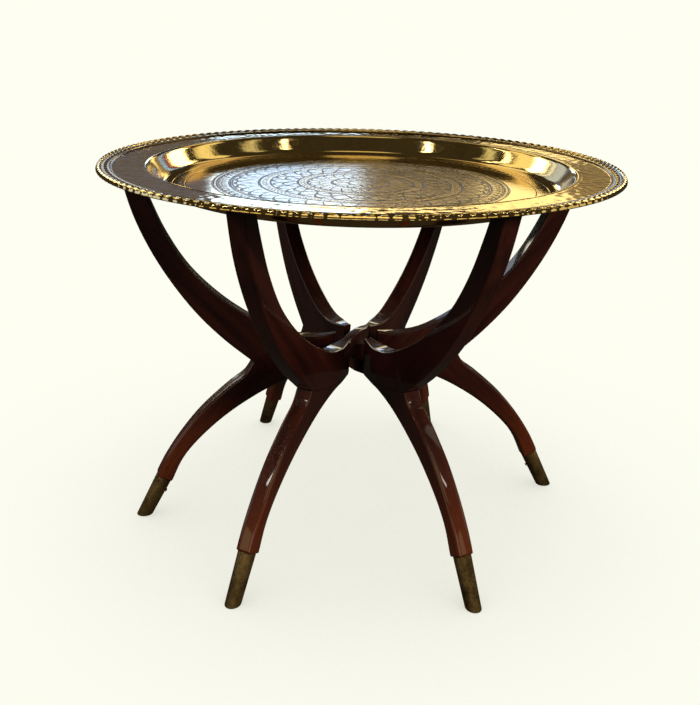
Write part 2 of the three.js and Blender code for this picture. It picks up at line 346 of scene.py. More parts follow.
def lacquered_wood(name, turn, rise):
    """Dark wood whose grain runs outwards and up by rise degrees, for a board turned about Z."""
    material, wood = new_material(name)
    flat = wood.place(turn=-turn)
    along = wood.add(
        "ShaderNodeVectorRotate",
        {"rotation_type": "Y_AXIS"},
        {"Vector": flat, "Angle": math.radians(rise)},
    )["Vector"]

    def stretched(scale):
        return wood.add(
            "ShaderNodeVectorMath", {"operation": "MULTIPLY"}, {0: along, 1: scale}
        )["Vector"]

    warp = wood.noise(stretched((5, 14, 14)), 1.0, 2.0)
    streak = wood.noise(stretched((6, 90, 90)), 1.0, 4.0, 0.55)
    ribbon = wood.noise(stretched((3, 32, 32)), 1.0, 2.0)
    pore = wood.noise(stretched((60, 1400, 1400)), 1.0, 1.0)
    figure = (streak * 0.55 + ribbon * 0.35 + warp * 0.25 - 0.12).step(0.25, 0.8)
    colour = wood.mix(figure, DARKEST, STREAKS)
    # Painted light: below about 17 cm the wood is mixed more and more towards a lighter
    # orange-brown, standing in for the light that brightens the lower legs.
    foot = wood.add("ShaderNodeSeparateXYZ", {}, {"Vector": flat})["Z"]
    colour = wood.mix((1 - foot.step(0.04, 0.17)) * 0.75, colour, LOWER_LEG_PAINTED_LIGHT)
    pores = 1 - pore.step(0.30, 0.42)
    colour = wood.mix(pores * 0.6, colour, PORES)
    wear = wood.noise(flat, 26.0, 3.0)
    wood.shade(
        {
            "Base Color": colour,
            "Roughness": 0.30 + wear * 0.16,
            "Normal": wood.bump(streak * 0.5 - pores * 0.5, 0.0002, 0.35),
            "Specular IOR Level": 0.15,
            "Coat Weight": 1.0,
            "Coat Roughness": 0.03,
            "Coat IOR": 1.5,
        }
    )
    return material


print("wood recipe ready")

# %% [markdown]
# The ferrules are old brass that nobody polishes: brown and olive patches, dull, with small dents.
# Two noises mix a dark brown film over the metal and change how dull it is.


# %% Tarnished brass
def tarnished_brass(name, dark, bright):
    material, metal = new_material(name)
    place = metal.place()
    cloud = metal.noise(place, 55.0, 4.0, 0.6)
    speck = metal.noise(place, 420.0, 2.0, 0.6)
    film = (cloud * 0.7 + speck * 0.3).step(0.36, 0.66)
    scratch = metal.noise(metal.place(scale=(1, 1, 0.08)), 900.0, 1.0)
    metal.shade(
        {
            "Base Color": metal.mix(film, bright, dark),
            "Metallic": 0.8,
            "Roughness": 0.38 + film * 0.22,
            "Normal": metal.bump(cloud * 0.7 + scratch * 0.12, 0.0006, 0.5),
        }
    )
    return material


FILM_BROWN, WORN_BRASS = (0.052, 0.031, 0.011), (0.20, 0.13, 0.046)
ferrule_brass = tarnished_brass("tarnished_brass", FILM_BROWN, WORN_BRASS)
print("made", ferrule_brass.name)

# %% [markdown]
# The dowels and the metal of the pivot are small pieces whose CAD shape is already right.
# They stay as they are and only get a finish: pale turned wood, and plain steel with fine lines.

# %% Dowel wood and pivot steel
dowel_wood, bare = new_material("bare_dowel_wood")
bare_streak = bare.noise(bare.place(scale=(900, 900, 40)), 1.0, 3.0)
bare.shade(
    {
        "Base Color": bare.mix(bare_streak, (0.34, 0.20, 0.10), (0.62, 0.43, 0.25)),
        "Roughness": 0.55 + bare_streak * 0.2,
        "Normal": bare.bump(bare_streak, 0.0002, 0.4),
    }
)

pivot_steel, zinc = new_material("pivot_steel")
zinc_line = zinc.noise(zinc.place(scale=(300, 300, 3000)), 1.0, 2.0)
zinc.shade(
    {
        "Base Color": zinc.mix(zinc_line, (0.36, 0.36, 0.37), (0.55, 0.55, 0.54)),
        "Metallic": 1.0,
        "Roughness": 0.28 + zinc_line * 0.2,
        "Normal": zinc.bump(zinc_line, 0.0001, 0.3),
    }
)
FINISH_OF_SLOT = {"pale_wood": dowel_wood, "steel": pivot_steel, "aged_brass": ferrule_brass}
print("made", dowel_wood.name, pivot_steel.name)

# %% [markdown]
# Modelling by hand means: start from a simple shape, select some corners, edges or faces, and use a
# tool on them. These helpers do the selecting by place, and apply a modifier in one line.


# %% Modelling helpers
def start_edit(piece):
    """Opens one piece in edit mode, with nothing selected."""
    bpy.ops.object.select_all(action="DESELECT")
    piece.select_set(True)
    bpy.context.view_layer.objects.active = piece
    bpy.ops.object.mode_set(mode="EDIT")
    bpy.ops.mesh.select_mode(type="VERT")
    bpy.ops.mesh.select_all(action="DESELECT")


def pick(piece, kind, wanted):
    """Selects the corners, edges or faces for which wanted(item) is true, and returns how many."""
    bpy.ops.mesh.select_mode(type=kind)
    bpy.ops.mesh.select_all(action="DESELECT")
    mesh = bmesh.from_edit_mesh(piece.data)
    items = {"VERT": mesh.verts, "EDGE": mesh.edges, "FACE": mesh.faces}[kind]
    chosen = [item for item in items if wanted(item)]
    for item in chosen:
        item.select_set(True)
    mesh.select_flush_mode()
    bmesh.update_edit_mesh(piece.data)
    return len(chosen)


def end_edit():
    """Merges doubles, turns the faces outwards and closes edit mode."""
    bpy.ops.mesh.select_all(action="SELECT")
    bpy.ops.mesh.remove_doubles(threshold=0.002 * MM)
    bpy.ops.mesh.normals_make_consistent(inside=False)
    bpy.ops.object.mode_set(mode="OBJECT")


def use_modifier(piece, kind, **settings):
    """Adds a modifier and applies it."""
    bpy.ops.object.select_all(action="DESELECT")
    piece.select_set(True)
    bpy.context.view_layer.objects.active = piece
    modifier = piece.modifiers.new(kind, kind)
    for name, value in settings.items():
        setattr(modifier, name, value)
    bpy.ops.object.modifier_apply(modifier=modifier.name)


def middle(edge):
    return (edge.verts[0].co + edge.verts[1].co) / 2


def is_corner_edge(edge):
    return edge.calc_face_angle(0) > 1


SHARP_ANGLE = math.radians(38)


def finish_piece(piece, body, node, material):
    """Shades a piece, gives it its material and body, and hides the CAD node that it takes the place
    of.
    """
    bpy.ops.object.select_all(action="DESELECT")
    piece.select_set(True)
    bpy.context.view_layer.objects.active = piece
    bpy.ops.object.shade_smooth_by_angle(angle=SHARP_ANGLE)
    piece.data.materials.clear()
    piece.data.materials.append(material)
    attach(piece, body)
    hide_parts(node)


print("modelling helpers ready")

# %% [markdown]
# The three pairs stand at their own angles about the bolt, and old joints let each board tilt a
# little to one side. This table names each limb, the way it points and its two tilts, in degrees.

# %% The six limbs
LIMBS = [
    # name, body, level of its bridge bar, direction, tilt of the arm, tilt of the leg
    ("back_right", "front_left_pair", 2, 63.8, 2.3, 2.3),
    ("front_left", "front_left_pair", 2, 243.8, -2.1, -2.0),
    ("right", "side_pair", 1, 12.0, 0.0, 0.0),
    ("left", "side_pair", 1, 192.0, 0.0, 0.0),
    ("back_left", "front_right_pair", 0, 120.5, 4.4, 1.1),
    ("front_right", "front_right_pair", 0, 300.5, -1.4, 0.0),
]
TILT_HEIGHT = 200 * MM
BOARD = 20.6 * MM
WAIST = 9 * MM
HUB_REACH = 26 * MM
WAIST_END = 54 * MM
GAP = 0.3 * MM
arm_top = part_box("arm_left")[1].z
print("arms reach up to", round(arm_top, 4))


def lean_and_turn(piece, tilt, turn):
    """Slides each level of a piece sideways by its tilt, and then turns it about the bolt."""
    slope = math.tan(math.radians(tilt))
    slide = Matrix(((1, 0, 0, 0), (0, 1, -slope, slope * TILT_HEIGHT), (0, 0, 1, 0), (0, 0, 0, 1)))
    piece.data.transform(Matrix.Rotation(math.radians(turn), 4, "Z") @ slide)


# %% [markdown]
# An arm is sawn from a board along two smooth curves. A curve through a few points is easy to
# change, so the curves are kept as points, and then walked in even steps.


# %% Curves
def smooth_line(points, steps=12):
    """A smooth line through points, given in millimetres."""
    known = [Vector(p) * MM for p in points]
    last = len(known) - 1
    line = []
    for i in range(last):
        before, start, end, after = (
            known[max(i - 1, 0)],
            known[i],
            known[i + 1],
            known[min(i + 2, last)],
        )
        leave, arrive = (end - before) / 2, (after - start) / 2
        for step in range(steps):
            t = step / steps
            line.append(
                (2 * start - 2 * end + leave + arrive) * t**3
                + (3 * end - 3 * start - 2 * leave - arrive) * t**2
                + leave * t
                + start
            )
    return line + [known[-1]]


def even_steps(line, count):
    """count + 1 points along the line, at equal distances."""
    reached = [0.0]
    for a, b in zip(line, line[1:]):
        reached.append(reached[-1] + (b - a).length)
    spaced = []
    i = 0
    for step in range(count + 1):
        goal = reached[-1] * step / count
        while i < len(line) - 2 and reached[i + 1] < goal:
            i += 1
        share = (goal - reached[i]) / (reached[i + 1] - reached[i])
        spaced.append(line[i].lerp(line[i + 1], share))
    return spaced


def glue_line(drop=0.0):
    """The seam under an arm, from the hub to the notch where the leg comes out."""
    start, bend, end = (Vector(p) * MM for p in ((26, 186), (96, 187.5), (127, 200)))
    steps = 24
    shares = [i / steps for i in range(steps + 1)]
    line = [start * (1 - t) ** 2 + bend * 2 * t * (1 - t) + end * t**2 for t in shares]
    return [p - Vector((0, drop)) for p in line]


print("glue line", len(glue_line()), "points")


# %% [markdown]
# A board grows from one face. The face is extruded a step along the curve, its upper pair of
# corners is already in place, and its lower pair is moved to the lower curve. At the hub the board
# narrows to a waist, so each pair is also scaled to its width.


# %% A board between two lines
def half_width(x):
    share = min(max((x - HUB_REACH) / (WAIST_END - HUB_REACH), 0), 1)
    return (WAIST + (BOARD - WAIST) * share) / 2


def at(place):
    """A test for corners at a place in the X-Z plane."""
    return lambda v: abs(v.co.x - place.x) < 0.02 * MM and abs(v.co.z - place.y) < 0.02 * MM


def move_pair(piece, now, goal, scale):
    """Takes the pair of corners at now to goal, and scales its width."""
    pick(piece, "VERT", at(now))
    step = goal - now
    bpy.ops.transform.translate(value=(step.x, 0, step.y))
    if abs(scale - 1) > 1e-6:
        bpy.ops.transform.resize(value=(1, scale, 1), center_override=(0, 0, 0))


def run_board(name, upper, lower, width):
    """A closed bar between an upper and a lower line. width(x) is half its width there."""
    bpy.ops.object.select_all(action="DESELECT")
    bpy.ops.mesh.primitive_plane_add(size=2)
    piece = bpy.context.object
    piece.name = name
    start_edit(piece)
    move_pair(piece, Vector((1, 0)), upper[0], width(upper[0].x))
    move_pair(piece, Vector((-1, 0)), lower[0], width(lower[0].x))
    for i in range(1, len(upper)):
        is_upper, is_lower = at(upper[i - 1]), at(lower[i - 1])
        pick(piece, "VERT", lambda v: is_upper(v) or is_lower(v))
        step = upper[i] - upper[i - 1]
        bpy.ops.mesh.extrude_region_move(TRANSFORM_OT_translate={"value": (step.x, 0, step.y)})
        move_pair(piece, upper[i], upper[i], width(upper[i].x) / width(upper[i - 1].x))
        move_pair(
            piece, lower[i - 1] + step, lower[i], width(lower[i].x) / width(lower[i - 1].x)
        )
    end_edit()
    return piece


def ease_edges(piece, weight_of, width):
    """Rounds the edges to which weight_of(edge) gives a weight, 1 being the full width."""
    start_edit(piece)
    for tenth in range(1, 11):
        weight = tenth / 10
        if pick(piece, "EDGE", lambda e: round(weight_of(e) * 10) == tenth):
            bpy.ops.transform.edge_bevelweight(value=weight)
    bpy.ops.object.mode_set(mode="OBJECT")
    use_modifier(piece, "BEVEL", limit_method="WEIGHT", width=width, segments=3)


# %% [markdown]
# The arm starts deep at the hub and thins to half that at the rim. Its edges are eased by 2 mm,
# which is what catches the thin white highlights. The glue seam stays square, to meet the leg.

# %% Arm blank
NOTCH_X = 127 * MM
ARM_EASE, LEG_EASE, BAR_EASE = 2.0 * MM, 6.0 * MM, 2.6 * MM
ARM_STEPS = (9, 27)
arm_inner = smooth_line(
    [
        (26, 230), (50, 227.5), (82, 232), (122, 252), (161, 280),
        (196, 316), (221, 357), (238, 398), (248.8, arm_top / MM),
    ]
)
arm_outer = smooth_line(
    [
        (127, 200), (158, 227), (189, 260), (217, 299),
        (240, 340), (257, 382), (269, arm_top / MM),
    ]
)
arm_lower = even_steps(glue_line(), ARM_STEPS[0]) + even_steps(arm_outer, ARM_STEPS[1])[1:]
arm_blank = run_board("arm_blank", even_steps(arm_inner, sum(ARM_STEPS)), arm_lower, half_width)


def arm_easing(edge):
    place = middle(edge)
    on_seam = place.x < NOTCH_X and place.z < 201 * MM
    if not is_corner_edge(edge) or on_seam:
        return 0
    if place.x < HUB_REACH + 0.1 * MM:
        return 0.2
    return 1 if place.z < arm_top - 0.1 * MM else 0.5


ease_edges(arm_blank, arm_easing, ARM_EASE)
print("arm blank", len(arm_blank.data.polygons), "faces")

# %% [markdown]
# The leg is a second board, glued under the arm. Its lower line runs back to a thin end at the hub,
# and its edges get rounder towards the foot, where the square wood has to meet a round ferrule.

# %% Leg blank
FOOT = 264
FOOT_X = FOOT * MM
LEAN = math.radians(27.5)
FERRULE_LENGTH = 57 * MM


def beside_foot(along, across):
    """A point beside the ferrule's axis, in millimetres from the foot."""
    return (
        FOOT - along * math.sin(LEAN) + across * math.cos(LEAN),
        along * math.cos(LEAN) + across * math.sin(LEAN),
    )


leg_upper = smooth_line(
    [
        (127, 199.6), (136, 185), (157, 169), (189, 140),
        (214, 110), (234, 80), beside_foot(57.3, 10.3),
    ]
)
leg_under = smooth_line(
    [
        (26, 182.5), (62, 181.5), (104, 167), (149, 140),
        (185, 110), (212, 79), beside_foot(57.3, -10.3),
    ]
)
LEG_STEPS = (12, 24)
GLUE_GAP = 0.4 * MM
seam_steps = even_steps(glue_line(GLUE_GAP), LEG_STEPS[0])
upper_steps = seam_steps + even_steps(leg_upper, LEG_STEPS[1])[1:]
lower_steps = even_steps(leg_under, sum(LEG_STEPS))
leg_blank = run_board("leg_blank", upper_steps, lower_steps, half_width)


def leg_easing(edge):
    place = middle(edge)
    on_seam = place.x < NOTCH_X + 0.5 * MM and place.z > 184.6 * MM
    if not is_corner_edge(edge) or on_seam:
        return 0
    across_ankle = abs(place.y) < 9 * MM or place.x > 220 * MM and place.z < 56 * MM
    fall = min(max((190 * MM - place.z) / (120 * MM), 0), 1)
    return 0.35 if across_ankle else 0.4 + 0.6 * fall


ease_edges(leg_blank, leg_easing, LEG_EASE)
print("leg blank", len(leg_blank.data.polygons), "faces")

# %% [markdown]
# The round tenon at the ankle goes inside the ferrule. It is turned on its own, as a tapered
# cylinder, leant over the foot with the ferrule, and joined to the leg by a Boolean union.
# A thin hole for the ferrule's nail is then cut across it.


# %% Turned pieces
def turned(name, radius, low, high, corners=32, scale=1.0):
    """A cylinder about Z from low to high, whose top is scaled."""
    bpy.ops.object.select_all(action="DESELECT")
    bpy.ops.mesh.primitive_circle_add(vertices=corners, radius=radius, fill_type="NGON")
    piece = bpy.context.object
    piece.name = name
    start_edit(piece)
    bpy.ops.mesh.select_all(action="SELECT")
    bpy.ops.transform.translate(value=(0, 0, low))
    bpy.ops.mesh.extrude_region_move(TRANSFORM_OT_translate={"value": (0, 0, high - low)})
    bpy.ops.transform.resize(value=(scale, scale, 1), center_override=(0, 0, high))
    end_edit()
    return piece


def block(low, high):
    """A box from one corner to the other."""
    low, high = Vector(low), Vector(high)
    bpy.ops.object.select_all(action="DESELECT")
    bpy.ops.mesh.primitive_cube_add(size=1)
    piece = bpy.context.object
    piece.data.transform(Matrix.Translation((low + high) / 2) @ Matrix.Diagonal((*(high - low), 1)))
    return piece


def combine(piece, tool, operation):
    """Cuts the tool from a piece or joins it to the piece, and throws the tool away."""
    use_modifier(piece, "BOOLEAN", operation=operation, object=tool, solver="EXACT")
    bpy.data.objects.remove(tool)


def lean_over_foot(piece):
    """Tips a piece on the Z axis over the foot, as the ferrule stands."""
    over = Matrix.Translation((FOOT_X, 0, 0)) @ Matrix.Rotation(-LEAN, 4, "Y")
    piece.data.transform(over)


# %% Tenon in the ferrule
ferrule_low, ferrule_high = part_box("ferrule_left")
print("ferrule box", [round(v, 4) for v in (*ferrule_low, *ferrule_high)])
TENON_LOW, TENON_HIGH = 8.0 * MM, 61 * MM
TENON_FOOT, TENON_TOP = 7.55, 8.6
tenon = turned("tenon", TENON_FOOT * MM, TENON_LOW, TENON_HIGH, scale=TENON_TOP / TENON_FOOT)
lean_over_foot(tenon)
combine(leg_blank, tenon, "UNION")
NAIL_PLACE, NAIL_SHANK, NAIL_HEAD, NAIL_TIP = 40 * MM, 1 * MM, 2.4 * MM, 4 * MM


def across_ferrule(piece):
    """Lays a piece on the Z axis across the ferrule, pointing at the stand's middle."""
    side = Matrix.Translation((0, 0, NAIL_PLACE)) @ Matrix.Rotation(-math.pi / 2, 4, "Y")
    piece.data.transform(side)
    lean_over_foot(piece)


def nail_hole():
    hole = turned("nail_hole", NAIL_SHANK + GAP, NAIL_TIP - GAP, 14 * MM, 16)
    across_ferrule(hole)
    return hole


combine(leg_blank, nail_hole(), "DIFFERENCE")
print("leg with tenon", len(leg_blank.data.polygons), "faces")

# %% [markdown]
# Each limb gets its own copy of the blanks. A copy is tilted first, so that its joints stay square,
# then an arm's mortise for its bridge bar and the dowel holes are cut, and last it is turned to its
# place about the bolt. Wood colours follow the direction of each pair.

# %% Joinery sizes
BAR_DEPTH = 15.2 * MM
TENON_TALL, TENON_WIDE, TENON_LONG = 6.4 * MM, 5 * MM, 18 * MM
DOWELS = [(90, 180.5, 203), (112, 178, 210)]
DOWEL_RADIUS = 4 * MM
BARS = ("bridge_bottom", "bridge_middle", "bridge_top")
bar_low = [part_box(name)[0].z for name in BARS]


def tenon_low(level):
    return bar_low[level] + (1.2 if level == 2 else 3.4) * MM


def cut_mortise(piece, level):
    half, low = TENON_WIDE / 2 + GAP, tenon_low(level) - GAP
    inner, outer = HUB_REACH - 5 * MM, HUB_REACH + TENON_LONG + GAP
    mortise = block((inner, -half, low), (outer, half, low + TENON_TALL + 2 * GAP))
    combine(piece, mortise, "DIFFERENCE")


def cut_dowel_holes(piece):
    for x, low, high in DOWELS:
        hole = turned("hole", DOWEL_RADIUS + GAP, low * MM - GAP, high * MM + GAP, 20)
        hole.data.transform(Matrix.Translation((x * MM, 0, 0)))
        combine(piece, hole, "DIFFERENCE")


def copy_of(blank, name):
    piece = bpy.data.objects.new(name, blank.data.copy())
    bpy.context.scene.collection.objects.link(piece)
    return piece


def keep_faces_flat(piece):
    """Lets wide faces set the shading, so that they stay flat between their eased edges."""
    use_modifier(piece, "WEIGHTED_NORMAL", keep_sharp=True, weight=80)


# %% Arms and legs
ARM_RISE, LEG_RISE = 48, -46
for name, body, level, turn, arm_tilt, leg_tilt in LIMBS:
    arm_wood = lacquered_wood(f"arm_wood_{name}", math.radians(turn), ARM_RISE)
    leg_wood = lacquered_wood(f"leg_wood_{name}", math.radians(turn), LEG_RISE)
    arm = copy_of(arm_blank, f"curved_arm_{name}")
    lean_and_turn(arm, arm_tilt, 0)
    cut_mortise(arm, level)
    cut_dowel_holes(arm)
    lean_and_turn(arm, 0, turn)
    finish_piece(arm, body, f"arm_{name}", arm_wood)
    keep_faces_flat(arm)
    leg = copy_of(leg_blank, f"curved_leg_{name}")
    lean_and_turn(leg, leg_tilt, 0)
    cut_dowel_holes(leg)
    lean_and_turn(leg, 0, turn)
    finish_piece(leg, body, f"leg_{name}", leg_wood)
    keep_faces_flat(leg)
print("arms and legs", len(LIMBS) * 2)
for blank in (arm_blank, leg_blank):
    bpy.data.objects.remove(blank)

# %% [markdown]
# A bridge bar joins two opposite arms across the bolt. It is widest in the middle, and ends in a
# square tenon on each side. The end face is inset, set to the tenon's size and extruded.
# The top bar is crowned, so that it flows into the arms.


# %% Bridge bars
TOP_WIDTH, LOWER_WIDTH = 12, 18
CROWN_DROP, CROWN_POWER, CROWN_REACH = 2.4 * MM, 1.75, 28 * MM
BAR_PARTS = 14


def bar_half_width(level, x):
    middle_width = (TOP_WIDTH if level == 2 else LOWER_WIDTH) * MM
    share = min(max((abs(x) - 12 * MM) / (13.7 * MM), 0), 1)
    return (middle_width + (WAIST - middle_width) * share) / 2


def bar_top(level, x):
    flat = bar_low[level] + BAR_DEPTH
    return flat - (CROWN_DROP * (abs(x) / CROWN_REACH) ** CROWN_POWER if level == 2 else 0)


def make_bar(level):
    end = HUB_REACH - GAP
    places = [end * (i / (BAR_PARTS // 2) - 1) for i in range(BAR_PARTS + 1)]
    upper = [Vector((x, bar_top(level, x))) for x in places]
    lower = [Vector((x, bar_low[level])) for x in places]
    bar = run_board("bar", upper, lower, lambda x: bar_half_width(level, x))
    round_top = 1.0 if level == 2 else 0.4
    flat = bar_low[level] + BAR_DEPTH / 2

    def easing(edge):
        place = middle(edge)
        lengthwise = is_corner_edge(edge) and abs(place.x) < end - 0.1 * MM
        return (round_top if place.z > flat else 0.4) if lengthwise else 0

    ease_edges(bar, easing, BAR_EASE)
    start_edit(bar)
    for side in (-1, 1):
        pick(
            bar,
            "FACE",
            lambda f: f.normal.x * side > 0.99 and f.calc_center_median().x * side > 0,
        )
        bpy.ops.mesh.inset(thickness=1.6 * MM)
        mesh = bmesh.from_edit_mesh(bar.data)
        corners = [v.co for v in mesh.verts if v.select]
        wide = max(c.y for c in corners) - min(c.y for c in corners)
        tall = max(c.z for c in corners) - min(c.z for c in corners)
        centre = (max(c.z for c in corners) + min(c.z for c in corners)) / 2
        scale = (1, TENON_WIDE / wide, TENON_TALL / tall)
        bpy.ops.transform.resize(value=scale, center_override=(0, 0, centre))
        shift = tenon_low(level) + TENON_TALL / 2 - centre
        bpy.ops.transform.translate(value=(0, 0, shift))
        reach = side * (TENON_LONG + GAP)
        bpy.ops.mesh.extrude_region_move(TRANSFORM_OT_translate={"value": (reach, 0, 0)})
    end_edit()
    return bar


# %% [markdown]
# Each bar is bored for the bolt, the top one only from below, for the round nut. The bottom bar gets
# a second, wider bore for the bolt's head and its washer.
# These cuts have a known fault: on some runs one of the three bars keeps wood in its hole. Every
# cutter has corners on the bar's middle cross line, which may be why. Turning the cutters by half
# a facet is worth trying.

# %% Bores for the bolt
NUT_RADIUS, NUT_HEIGHT = 4 * MM, 8.7 * MM
BOLT_RADIUS = 2.5 * MM
COUNTERBORE = (6.8 * MM, 6.6 * MM)
body_and_turn = {}
for name, body, level, turn, arm_tilt, leg_tilt in LIMBS:
    body_and_turn.setdefault(level, (body, turn))
for level, bar_name in enumerate(BARS):
    low = bar_low[level]
    bar = make_bar(level)
    bar.name = f"shaped_{bar_name}"
    if level == 2:
        bore = turned("bore", NUT_RADIUS + GAP, low - MM, low + NUT_HEIGHT + 2 * GAP, 24)
    else:
        bore = turned("bore", BOLT_RADIUS + GAP, low - MM, low + BAR_DEPTH + MM, 24)
    combine(bar, bore, "DIFFERENCE")
    if level == 0:
        bore = turned("bore", COUNTERBORE[0], low - MM, low + COUNTERBORE[1], 32)
        combine(bar, bore, "DIFFERENCE")
    body, turn = body_and_turn[level]
    bar_wood = lacquered_wood(f"bar_wood_{level}", math.radians(turn), 0)
    lean_and_turn(bar, 0, turn)
    finish_piece(bar, body, bar_name, bar_wood)
    keep_faces_flat(bar)
print("bridge bars", len(BARS))

# %% [markdown]
# A ferrule is a tapered brass cup on the end of the leg. A disc is extruded to a tapered rod, its
# top is inset to the wall's thickness and pushed down inside, and the rod is leant over the foot.
# A flat cut at the floor gives it a level foot, whose edge is rounded by years of sliding.

# %% Ferrule
FOOT_RADIUS, MOUTH_RADIUS, WALL = 8.7 * MM, 9.9 * MM, 1 * MM
taper = (MOUTH_RADIUS - FOOT_RADIUS) / FERRULE_LENGTH
start_below = -8 * MM
low_radius = FOOT_RADIUS + taper * start_below
ferrule_blank = turned(
    "ferrule_blank", low_radius, start_below, FERRULE_LENGTH, 40, MOUTH_RADIUS / low_radius
)
start_edit(ferrule_blank)
pick(ferrule_blank, "FACE", lambda f: f.normal.z > 0.99)
bpy.ops.mesh.inset(thickness=WALL)
CUP_FLOOR = 7.5 * MM
cup_scale = (FOOT_RADIUS + taper * CUP_FLOOR - WALL) / (MOUTH_RADIUS - WALL)
bpy.ops.mesh.extrude_region_move(
    TRANSFORM_OT_translate={"value": (0, 0, CUP_FLOOR - FERRULE_LENGTH)}
)
bpy.ops.transform.resize(value=(cup_scale, cup_scale, 1), center_override=(0, 0, CUP_FLOOR))
pick(
    ferrule_blank,
    "EDGE",
    lambda e: all(abs(v.co.z - FERRULE_LENGTH) < 0.01 * MM for v in e.verts)
    and is_corner_edge(e),
)
bpy.ops.mesh.bevel(offset=0.3 * MM, segments=2, affect="EDGES")
end_edit()
lean_over_foot(ferrule_blank)

# %% Flat foot
start_edit(ferrule_blank)
bpy.ops.mesh.select_all(action="SELECT")
bpy.ops.mesh.bisect(plane_co=(0, 0, 0), plane_no=(0, 0, 1), use_fill=True, clear_inner=True)
pick(ferrule_blank, "EDGE", lambda e: all(abs(v.co.z) < 0.01 * MM for v in e.verts))
bpy.ops.mesh.bevel(offset=1.1 * MM, segments=4, affect="EDGES")
end_edit()
print("ferrule", len(ferrule_blank.data.polygons), "faces")

# %% [markdown]
# One small nail with a domed head holds each ferrule, on the side that faces the middle of the
# stand. The head is a disc that is extruded twice and drawn in, which rounds it over.

# %% Nail
under_head = FOOT_RADIUS + taper * NAIL_PLACE + GAP + 0.3 * MM
nail_blank = turned("nail_blank", 0.35 * MM, NAIL_TIP, NAIL_TIP + MM, 16, NAIL_SHANK / (0.35 * MM))
start_edit(nail_blank)
pick(nail_blank, "FACE", lambda f: f.normal.z > 0.99)
NAIL_STEPS = [
    # rise, scale of the face
    (under_head - NAIL_TIP - MM, 1.0),
    (0.0, NAIL_HEAD / NAIL_SHANK),
    (0.35 * MM, 0.97),
    (0.35 * MM, 0.82),
    (0.22 * MM, 0.6),
    (0.08 * MM, 0.4),
]
nail_height = NAIL_TIP + MM
for rise, scale in NAIL_STEPS:
    nail_height += rise
    bpy.ops.mesh.extrude_region_move(TRANSFORM_OT_translate={"value": (0, 0, rise)})
    bpy.ops.transform.resize(value=(scale, scale, 1), center_override=(0, 0, nail_height))
end_edit()
across_ferrule(nail_blank)
print("nail", len(nail_blank.data.polygons), "faces")

# %% [markdown]
# The nail's hole goes through the wall of the ferrule. After that each limb gets a copy of both
# pieces, tilted and turned as its leg is.

# %% Six ferrules and six nails
combine(ferrule_blank, nail_hole(), "DIFFERENCE")
for name, body, level, turn, arm_tilt, leg_tilt in LIMBS:
    ferrule = copy_of(ferrule_blank, f"brass_ferrule_{name}")
    nail = copy_of(nail_blank, f"domed_nail_{name}")
    for piece, node in ((ferrule, f"ferrule_{name}"), (nail, f"ferrule_nail_{name}")):
        lean_and_turn(piece, leg_tilt, 0)
        lean_and_turn(piece, 0, turn)
        finish_piece(piece, body, node, ferrule_brass)
for blank in (ferrule_blank, nail_blank):
    bpy.data.objects.remove(blank)
print("ferrules and nails", 2 * len(LIMBS))

# %% [markdown]
# The tray is one spun sheet of brass: a flat floor, a sloping wall, a flat rim and a raised border
# with a row of short flutes and a row of beads outside it. The border repeats 150 times, so only
# one narrow slice is modelled. Its outline is drawn corner by corner by extruding one point, and
# spun by 2.4 degrees in four steps.

# %% Outline of the tray
tray_low, tray_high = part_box("tray")
RADIUS = tray_high.x / MM
BORDER_TOP = tray_high.z / MM
BORDER_HEIGHT = 4
RIM = BORDER_TOP - BORDER_HEIGHT
FLOOR = frame["record"]["mounts"][0]["pos_m"][2] / MM
SHEET = 1.6
print("tray radius", round(RADIUS, 2), "rim", round(RIM, 2), "floor", round(FLOOR, 2))
top_side = [
    (0, FLOOR), (20, FLOOR), (60, FLOOR), (110, FLOOR), (150, FLOOR), (168.5, FLOOR),
    (195, FLOOR), (212, FLOOR), (217, FLOOR + 0.1), (220.5, FLOOR + 0.5), (223.2, FLOOR + 1.5),
    (225.4, FLOOR + 3.3), (228, FLOOR + 7), (231, FLOOR + 11.3), (234, FLOOR + 15.6),
    (236.2, FLOOR + 18.7), (237.4, FLOOR + 20.3), (238.6, FLOOR + 21.5), (240, RIM + 0.3),
    (241.4, RIM + 0.45), (242.6, RIM + 0.15), (244, RIM), (255, RIM), (266, RIM), (273.5, RIM),
    (275.2, RIM + 0.1), (276.2, RIM + 0.8), (277, RIM + 1.7), (278, RIM + 2), (279, RIM + 1.7),
]
flute_rows = [(279.8, 0.3), (281, 0.9), (283, 1.2), (284.8, 0.9), (285.8, 0.3)]
bead_rows = [(287.1, 0.4), (288.1, 1.0), (289.2, 1.35), (290.3, 0.95), (291.2, 0.4)]
border = [(r, RIM + 1.25) for r, lift in flute_rows] + [(286.5, RIM + 1)]
bead_base = (1.4, 2.3, 2.6, 2.3, 1.4)
border += [(r, RIM + base) for (r, lift), base in zip(bead_rows, bead_base)]
outer_edge = [(291.8, RIM + 0.3), (292, RIM - 0.5), (291.6, RIM - 1.2), (290.6, RIM - SHEET)]
under_side = [
    (288.5, RIM - 0.9), (286, RIM - 0.4), (282, RIM - 0.1), (279, RIM - 0.2), (277, RIM - 1.2),
    (275.5, RIM - SHEET), (258, RIM - SHEET), (242.4, RIM - SHEET), (239.6, RIM - 2.2),
    (237.6, RIM - 4.2), (226.6, FLOOR + 2.2), (224.4, FLOOR + 0.1), (221.8, FLOOR - 1.2),
    (217.6, FLOOR - SHEET), (180, FLOOR - SHEET), (90, FLOOR - SHEET), (0, FLOOR - SHEET),
]
outline = [(r * MM, z * MM) for r, z in top_side + border + outer_edge + under_side]
print("outline points", len(outline))

